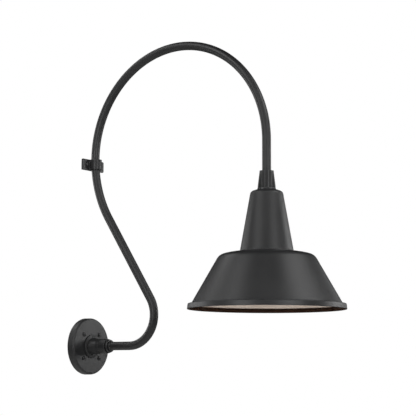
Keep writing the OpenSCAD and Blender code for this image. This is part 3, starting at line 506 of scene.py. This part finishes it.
lock_nut.data.materials.append(cast_black)
lock_nut.data.materials.append(painted_groove_shade)
x, y, z = face_middles(lock_nut)
# The faces inside the two grooves take the painted shade.
in_inner_groove = ((-y > nut_body_end_w + inner_shade_gap) & (-y < ring_w - lip_gap)
                   & (np.hypot(x, z) < inner_shade_r))
in_outer_groove = ((-y > ring_w + ring_h + outer_shade_gap) & (-y < collar_w - lip_gap)
                   & (np.hypot(x, z) < outer_shade_r))
lock_nut.data.polygons.foreach_set("material_index", (in_inner_groove | in_outer_groove).astype(np.int32))
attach(lock_nut, "arm")
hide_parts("lock_nut")

# The gooseneck: one length of 3/4 inch tube, bent round a former and powder coated. Its route is
# two straight legs, a tight bend, a leaning run, a slow bend and the half circle over the top.
coat_dark, coat_pale = (0.011, 0.0112, 0.0118), (0.015, 0.0152, 0.0158)
tube_low, tube_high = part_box("gooseneck_tube")
wall_leg_w, drop_w = tube_r - tube_high.y, -tube_low.y - tube_r
hook_r = (drop_w - wall_leg_w) / 2
hook_z = tube_high.z - tube_r - hook_r
arm_run, lower_bend_r, back_bend_r, arm_lean = 0.1275, 0.0675, 0.256, math.radians(33)
lean_run = ((arm_run + lower_bend_r * math.cos(arm_lean) - wall_leg_w
             - back_bend_r * (1 - math.cos(arm_lean))) / math.sin(arm_lean))
bush_lip = 0.001
tube_end_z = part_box("tube_bushing")[0].z + bush_lip
route_step, tube_sides = 0.004, 72


def route(start, heading, stretches, step):
    """Points and headings along straight lines and arcs in one plane. A stretch is (length, turn):
    where turn isn't 0 the heading changes evenly by that angle over the length, so that a point
    moves along an arc of radius length / turn."""
    points, headings = [np.array([start])], [np.array([heading])]
    for length, bend in stretches:
        count = max(2, round(length / step)) if bend else 2
        share = np.linspace(0, 1, count + 1)[1:]
        angle = heading + bend * share
        if bend:
            moved = (length / bend) * np.stack([np.sin(angle) - np.sin(heading),
                                                np.cos(heading) - np.cos(angle)], 1)
        else:
            moved = length * share[:, None] * [np.cos(heading), np.sin(heading)]
        points.append(points[-1][-1] + moved)
        headings.append(angle)
        heading += bend
    return np.concatenate(points), np.concatenate(headings)


def tube_along(name, centres, headings, r_out, r_in, sides):
    """A hollow tube: rings of r_out run out along the route and rings of r_in come back, each ring
    the centre plus r times (cos a across the route in its plane, sin a along X)."""
    across = np.stack([np.zeros(len(headings)), np.sin(headings), np.cos(headings)], 1)
    middle = np.stack([np.zeros(len(headings)), -centres[:, 0], centres[:, 1]], 1)
    around = np.linspace(0, 2 * np.pi, sides, endpoint=False)
    sideways = np.array([1.0, 0, 0])

    def rings(r, order):
        return (middle[order, None] + r * (np.cos(around)[None, :, None] * across[order, None]
                                           + np.sin(around)[None, :, None] * sideways))

    out = np.arange(len(middle))
    return closed_mesh(name, np.concatenate([rings(r_out, out), rings(r_in, out[::-1])]))


arm_stretches = [
    (arm_run - hub_stop_w, 0), (lower_bend_r * (math.pi / 2 + arm_lean), math.pi / 2 + arm_lean),
    (lean_run, 0), (back_bend_r * arm_lean, -arm_lean), (hook_r * math.pi, -math.pi),
    (hook_z - tube_end_z, 0)]
arm_points, arm_headings = route((hub_stop_w, 0.0), 0.0, arm_stretches, route_step)
gooseneck = tube_along("gooseneck", arm_points, arm_headings, tube_r, tube_bore_r, tube_sides)
tube_black = grained("tube_powder_coat", coat_dark, coat_pale, (0.42, 0.48), 1100.0, 20.0, 0.12)
gooseneck.data.materials.append(tube_black)
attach(gooseneck, "arm")
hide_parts("gooseneck_tube")

# The block behind the strap: cast, powder coated, with soft edges and bevelled back corners. It
# holds the strap off the wall, and two long screws go through strap and block.
strap_low, strap_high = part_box("wall_strap")
block_low, block_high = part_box("standoff")
strap_z = (strap_low.z + strap_high.z) / 2
block_w, block_front_l, block_back_l = -block_low.y, block_high.x - block_low.x, 0.0466
block_bevel_w, block_bevel_slope, block_soft_edge = 0.003, 1.15, 0.0008


def extruded(name, outline, bottom, top):
    """A closed outline (x, y) carried straight up from bottom to top."""
    levels = [np.full((len(outline), 1), z) for z in (bottom, top)]
    rings = np.stack([np.concatenate([outline, level], 1) for level in levels])
    middle = outline.mean(0)
    return closed_mesh(name, rings, [(*middle, bottom), (*middle, top)])


def softened(piece, width):
    """Rounds a piece's hard edges with a Bevel modifier of two steps."""
    bevel = piece.modifiers.new("soft_edges", "BEVEL")
    bevel.width, bevel.segments, bevel.limit_method = width, 2, "ANGLE"
    bevel.angle_limit = math.radians(30)


half_back = block_back_l / 2
half_bevelled = half_back + block_bevel_w * block_bevel_slope
block_side = np.array([[half_back, 0], [half_bevelled, -block_bevel_w], [block_front_l / 2, -block_w]])
block_outline = np.concatenate([block_side * [-1, 1], block_side[::-1]])
block = extruded("cast_block", block_outline, block_low.z, block_high.z)
softened(block, block_soft_edge)
block.data.materials.append(cast_black)
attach(block, "arm")
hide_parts("standoff")

# The strap: a flat steel band pressed into a loop over the tube, with two ears whose corners are
# rounded. Powder coated with the tube.
strap_t, strap_h, strap_bend_r, strap_soft_edge = 0.0033, 0.0248, 0.0030, 0.0004
hoop_reach, hoop_rise, hoop_steps, strap_rows = 0.0026, 0.0018, 16, 9
hoop_top_w = -(strap_low.y + strap_t / 2) + hoop_reach
hoop_r = tube_r + fit_gap + strap_t / 2
hoop_corner_r = hoop_r * 0.99
ear_end, ear_w, ear_corner_r, ear_cuts = strap_high.x, block_w + strap_t / 2, 0.0030, 5
strap_line = filleted([(-ear_end, ear_w, 0), (-hoop_r, ear_w, strap_bend_r),
                       (-hoop_r, hoop_top_w, hoop_corner_r), (hoop_r, hoop_top_w, hoop_corner_r),
                       (hoop_r, ear_w, strap_bend_r), (ear_end, ear_w, 0)], hoop_steps)
cut_angle = np.linspace(0, np.pi / 2, ear_cuts + 2)[1:-1]
ear_points = np.stack([ear_end - ear_corner_r * (1 - np.sin(cut_angle)), np.full(ear_cuts, ear_w)], 1)
strap_line = np.concatenate([strap_line[:1], (ear_points * [-1, 1])[::-1], strap_line[1:-1], ear_points,
                             strap_line[-1:]])


def band(name, line, height, middle_z, corner_r, end, rise, rows):
    """A sheet that stands on a line (x, w): its height shrinks towards each end as the quarter circle
    of a rounded corner does, height / 2 - corner_r + sqrt(corner_r^2 - d^2). Its lower edge comes up
    by rise over the loop: by twice the line's share of its way out of the ears' plane, up to 1."""
    along = np.clip(abs(line[:, 0]) - (end - corner_r), 0, corner_r)
    half = height / 2 - corner_r + np.sqrt(np.clip(corner_r ** 2 - along ** 2, 0, None))
    out = (line[:, 1] - line[0, 1]) / np.ptp(line[:, 1])
    levels = np.linspace(-1, 1, rows)
    lift = rise * np.clip(out * 2, 0, 1)[:, None] * (1 - levels) / 2
    points = np.stack([np.repeat(line[:, :1], rows, 1), -np.repeat(line[:, 1:], rows, 1),
                       middle_z + half[:, None] * levels + lift], -1)
    r, c = np.meshgrid(np.arange(len(line) - 1), np.arange(rows - 1), indexing="ij")
    first = (r * rows + c).reshape(-1)
    return mesh_object(name, points.reshape(-1, 3),
                       np.stack([first, first + rows, first + rows + 1, first + 1], 1))


strap = band("pressed_strap", strap_line, strap_h, strap_z, ear_corner_r, ear_end, hoop_rise, strap_rows)
thick = strap.modifiers.new("thickness", "SOLIDIFY")
thick.thickness, thick.offset = strap_t, 0
softened(strap, strap_soft_edge)
strap.data.materials.append(tube_black)
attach(strap, "arm")
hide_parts("wall_strap")

# The strap's screws: two long pan-head screws of blackened steel, driven through strap and block
# into the wall.
strap_shank_r = 0.0021
strap_screw_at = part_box("strap_screws")[1].x - head_r
strap_screw_places = [(side * strap_screw_at, strap_z) for side in (-1, 1)]
strap_screws = screws_from_wall("strap_pan_heads", strap_screw_places, block_w + strap_t, strap_shank_r)
strap_screws.data.materials.append(screw_black)
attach(strap_screws, "arm")
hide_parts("strap_screws")

# The ferrule and the bush: a brass ring that the lock nut presses on the tube, and a moulded nylon
# one in the tube's end. Brass too are the lamp holder's shell, contact and screws.
brass_dark, brass_pale = (0.56, 0.36, 0.12), (0.78, 0.56, 0.24)
nylon_dark, nylon_pale = (0.018, 0.018, 0.019), (0.026, 0.026, 0.027)
dress(grained("brass", brass_dark, brass_pale, (0.2, 0.36), 700.0, 90.0, 0.05, Metallic=1.0),
      "ferrule", "centre_contact", "holder_screws", "screw_shell")
dress(grained("nylon", nylon_dark, nylon_pale, (0.5, 0.62), 900.0, 50.0, 0.08), "tube_bushing")

# The leads: stranded copper in soft plastic, one black and one white, pulled through the arm from
# the junction box down to the lamp holder.
black_lead_dark, black_lead_pale = (0.012, 0.012, 0.013), (0.02, 0.02, 0.021)
white_lead_dark, white_lead_pale = (0.72, 0.71, 0.68), (0.8, 0.79, 0.76)
dress(grained("black_insulation", black_lead_dark, black_lead_pale, (0.32, 0.42), 500.0, 40.0, 0.04),
      "line_lead", "line_tail")
dress(grained("white_insulation", white_lead_dark, white_lead_pale, (0.32, 0.42), 500.0, 40.0, 0.04),
      "neutral_lead", "neutral_tail")

# The fitter: cast and powder coated. Between its fins the coat is painted darker and duller as
# painted shade. The four rounded fins taper up a plain body from a flange; the tube goes in from
# above and the shade's nipple from below. Its grub screw rides in the tube's groove.
fitter_low, fitter_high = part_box("shade_fitter")
drop_x, drop_y = (fitter_low.x + fitter_high.x) / 2, (fitter_low.y + fitter_high.y) / 2
seat_low, seat_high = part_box("shade_seat")
seat_t, thread_gap = 0.0009, 0.0002
nipple_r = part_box("nipple")[1].x + fit_gap - drop_x
fitter_step_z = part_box("nipple")[1].z + thread_gap
flange_r, flange_t, flange_lean = 0.0206, 0.0042, 0.0012
flange_z = seat_low.z + seat_t
flange_top_r, flange_top_z, fitter_top_z = flange_r - flange_lean, flange_z + flange_t, fitter_high.z
fin_count, fin_turn, fin_half, fin_nose = 4, math.radians(33), 0.0044, 0.0023
fin_foot_r, fin_top_r, fitter_body_r = 0.0193, 0.0148, 0.013
foot_fillet, top_round, between_reach = 0.0008, 0.0008, 0.0005
fitter_columns, fillet_rows, fin_rows = 384, 5, 11
root_softness, fin_overreach = 26, 1.01
fitter_around = np.linspace(0, 2 * np.pi, fitter_columns, endpoint=False)


def finned(tip_r):
    """The fitter's radius at each angle: the soft maximum (a^n + b^n)^(1/n) of the round body and of
    the nearest fin, a bar of half width h with rounded corners, where a ray at angle d from the
    fin's middle meets its front at tip / cos d, its side at h / sin d, or the corner's circle."""
    spacing = 2 * np.pi / fin_count
    d = abs((fitter_around - fin_turn + spacing / 2) % spacing - spacing / 2)
    corner_u, corner_v = tip_r - fin_nose, fin_half - fin_nose
    along = corner_u * np.cos(d) + corner_v * np.sin(d)
    inside = along ** 2 - corner_u ** 2 - corner_v ** 2 + fin_nose ** 2
    corner = along + np.sqrt(np.clip(inside, 0, None))
    side = fin_half / np.maximum(np.sin(d), 1e-6)
    fin = np.where(tip_r * np.tan(d) < corner_v, tip_r / np.cos(d),
                   np.where((side * np.cos(d) < corner_u) | (inside < 0), side, corner))
    fin = np.minimum(fin, tip_r * fin_overreach)
    return (fin ** root_softness + fitter_body_r ** root_softness) ** (1 / root_softness)


fin_foot_z, fin_top_z = flange_top_z + foot_fillet, fitter_top_z - top_round
flange_profile = filleted([(nipple_r, flange_z, 0), (flange_r, flange_z, soft_edge),
                           (flange_top_r, flange_top_z, soft_edge),
                           (flange_top_r - soft_edge, flange_top_z, 0)], 5)
rows = [(np.full(fitter_columns, r), z) for r, z in flange_profile]
for lift in np.linspace(0, np.pi / 2, fillet_rows):
    foot = finned(fin_foot_r) + foot_fillet * (1 - math.sin(lift))
    rows.append((np.minimum(foot, flange_top_r - soft_edge),
                 flange_top_z + foot_fillet * (1 - math.cos(lift))))
for rise in np.linspace(0, 1, fin_rows + 1)[1:]:
    rows.append((finned(fin_foot_r + (fin_top_r - fin_foot_r) * rise),
                 fin_foot_z + (fin_top_z - fin_foot_z) * rise))
for lean in np.linspace(0, np.pi / 2, fillet_rows)[1:]:
    rows.append((finned(fin_top_r) - top_round * (1 - math.cos(lean)),
                 fitter_top_z - top_round * (1 - math.sin(lean))))
for r, z in ((socket_r, fitter_top_z), (socket_r, fitter_step_z), (nipple_r, fitter_step_z)):
    rows.append((np.full(fitter_columns, r), z))
fitter = closed_mesh("finned_fitter", np.array([
    np.stack([drop_x + r * np.cos(fitter_around), drop_y + r * np.sin(fitter_around),
              np.full(fitter_columns, z)], 1) for r, z in rows]))
fitter_grub_low, fitter_grub_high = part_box("fitter_grub_screw")
fitter_grub_z = (fitter_grub_low.z + fitter_grub_high.z) / 2
fitter_grub_r = (fitter_grub_high.z - fitter_grub_low.z) / 2
drilled(fitter, (drop_x + tube_r - drill_overlap, drop_y, fitter_grub_z),
        (drop_x + flange_r, drop_y, fitter_grub_z), fitter_grub_r + fit_gap)
fitter.data.materials.append(grained("fitter_powder_coat", coat_dark, coat_pale, (0.34, 0.4), 1100.0, 20.0,
                                     0.12))
# Painted shade: a darker, less glossy coat for the body between the fins.
fitter.data.materials.append(grained("fitter_painted_shade_coat", (0.009, 0.0091, 0.0095), (0.012, 0.0121, 0.0125),
                                     (0.46, 0.54), 900.0, 26.0, 0.2, Specular_IOR_Level=0.42))
# The body's faces between the fins take the painted shade.
x, y, z = face_middles(fitter)
between_fins = ((np.hypot(x - drop_x, y - drop_y) < fitter_body_r + between_reach)
                & (z > flange_top_z) & (z < fitter_top_z))
fitter.data.polygons.foreach_set("material_index", between_fins.astype(np.int32))
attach(fitter, "head")
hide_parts("shade_fitter")

# The seat: a thin disc cut from black rubber sheet, with a hole for the nipple. The fitter presses
# it on the shade's top, so that no rain runs in. Its near-black, almost glossless colour is partly
# the rubber's own and partly painted shadow, for the shade under the fitter's flange.
seat_r, seat_hole_r, seat_step = seat_high.x - drop_x, nipple_r + thread_gap, 0.002
seat_profile = [(seat_hole_r, seat_low.z, 0), (seat_r, seat_low.z, soft_edge),
                (seat_r, flange_z, soft_edge), (seat_hole_r, flange_z, 0),
                (seat_hole_r, seat_low.z, 0)]
seat = spun("rubber_seat", denser(filleted(seat_profile, 4), seat_step)[:-1], turned_columns,
            (drop_x, drop_y))
# Black rubber, made nearly black and glossless as painted shadow under the flange.
seat.data.materials.append(grained("seat_rubber_painted_shadow", (0.002, 0.002, 0.002), (0.004, 0.004, 0.004), (0.8, 0.92),
                                   900.0, 60.0, 0.2, Specular_IOR_Level=0.06))
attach(seat, "head")
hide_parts("shade_seat")

# The shade: one sheet spun over a former, satin black outside and warm white enamel inside. Its
# rim band is folded back inside as a hem, whose edge shows as a dark brown line.
shade_low, shade_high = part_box("shade")
rim_r, rim_z, top_z = (shade_high.x - shade_low.x) / 2, shade_low.z, shade_high.z
sheet, shade_hole_r = 0.0012, 0.00885
band_h, band_flare, ledge_l, hem_h = 0.0122, 0.0014, 0.0075, 0.0065
skirt_lean, skirt_h = math.radians(29.8), 0.1014
crown_r, crown_rise, neck_foot_rise = 0.0752, 0.0063, 0.0007
neck_foot_r, neck_taper = 0.0569, math.radians(10.1)
top_curve, neck_foot_curve, crown_curve, skirt_top_curve = 0.009, 0.0025, 0.148, 0.021
ledge_edge, band_round, rim_edge, fold_round, hem_edge_round = 0.0006, 0.0018, 0.0007, 0.0008, 0.0005
inner_ledge_round, inner_band_round = 0.003, 0.0008
ledge_z = rim_z + band_h
skirt_foot_r, skirt_top_z = rim_r - band_flare - ledge_l, ledge_z + skirt_h
skirt_top_r = skirt_foot_r - skirt_h * math.tan(skirt_lean)
crown_z = skirt_top_z + crown_rise
neck_foot_z = crown_z + neck_foot_rise
neck_top_r = neck_foot_r - (top_z - neck_foot_z) * math.tan(neck_taper)
hem_r, hem_z = rim_r - band_flare / band_h * hem_h, rim_z + hem_h
spin_columns, spin_step = 192, 0.006

# The inner profile is the outer one moved in by the sheet's thickness. Its factors part that
# thickness between r and z, as the two sides of each corner lean.
outer = [(shade_hole_r, top_z, 0), (neck_top_r, top_z, top_curve),
         (neck_foot_r, neck_foot_z, neck_foot_curve), (crown_r, crown_z, crown_curve),
         (skirt_top_r, skirt_top_z, skirt_top_curve), (skirt_foot_r, ledge_z, ledge_edge),
         (rim_r - band_flare, ledge_z - ledge_edge, band_round), (rim_r, rim_z, rim_edge),
         (rim_r - 2.2 * sheet, rim_z, fold_round), (hem_r - 2 * sheet, hem_z, hem_edge_round),
         (hem_r - sheet, hem_z, 0)]
inner = [(hem_r - sheet, hem_z, 0),
         (rim_r - band_flare - sheet, ledge_z - ledge_edge - sheet, inner_band_round),
         (skirt_foot_r - 0.7 * sheet, ledge_z - sheet, inner_ledge_round),
         (skirt_top_r - 0.8 * sheet, skirt_top_z - 0.7 * sheet, skirt_top_curve - sheet),
         (crown_r - 0.1 * sheet, crown_z - sheet, crown_curve - sheet),
         (neck_foot_r - sheet, neck_foot_z - sheet, neck_foot_curve + sheet),
         (neck_top_r - 1.2 * sheet, top_z - sheet, top_curve - sheet), (shade_hole_r, top_z - sheet, 0)]
outside = denser(filleted(outer), spin_step)
inside = denser(filleted(inner), spin_step)
shade = spun("spun_shade", np.concatenate([outside, inside[1:]])[::-1], spin_columns, (drop_x, drop_y))
shade.data.materials.append(grained("shade_powder_coat", coat_dark, coat_pale, (0.42, 0.48), 1100.0, 12.0,
                                    0.1))
shade.data.materials.append(grained("white_enamel", (0.93, 0.79, 0.68), (0.97, 0.84, 0.74), (0.3, 0.4),
                                    500.0, 16.0, 0.06))
shade.data.materials.append(grained("hem_edge", (0.03, 0.011, 0.004), (0.04, 0.016, 0.006), (0.5, 0.6),
                                    900.0, 12.0, 0.1, Specular_IOR_Level=0.25))
inside_rows = len(inside) - 2
on_hem = (outside[:, 1] < hem_z + sheet / 100) & (outside[:, 0] < rim_r - 1.2 * sheet)
hem_rows = int(np.sum(on_hem))
paint = np.zeros(len(shade.data.polygons), np.int32)
paint[:inside_rows * spin_columns] = 1
paint[inside_rows * spin_columns:(inside_rows + hem_rows) * spin_columns] = 2
shade.data.polygons.foreach_set("material_index", paint)
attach(shade, "head")
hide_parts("shade")

# The lamp holder: white glazed porcelain, hung from its steel cap by two long screws. It holds the
# brass shell that a lamp screws into.
glaze_dark, glaze_pale = (0.78, 0.76, 0.71), (0.86, 0.84, 0.8)
dress(grained("porcelain", glaze_dark, glaze_pale, (0.08, 0.16), 300.0, 30.0, 0.03), "lamp_holder")
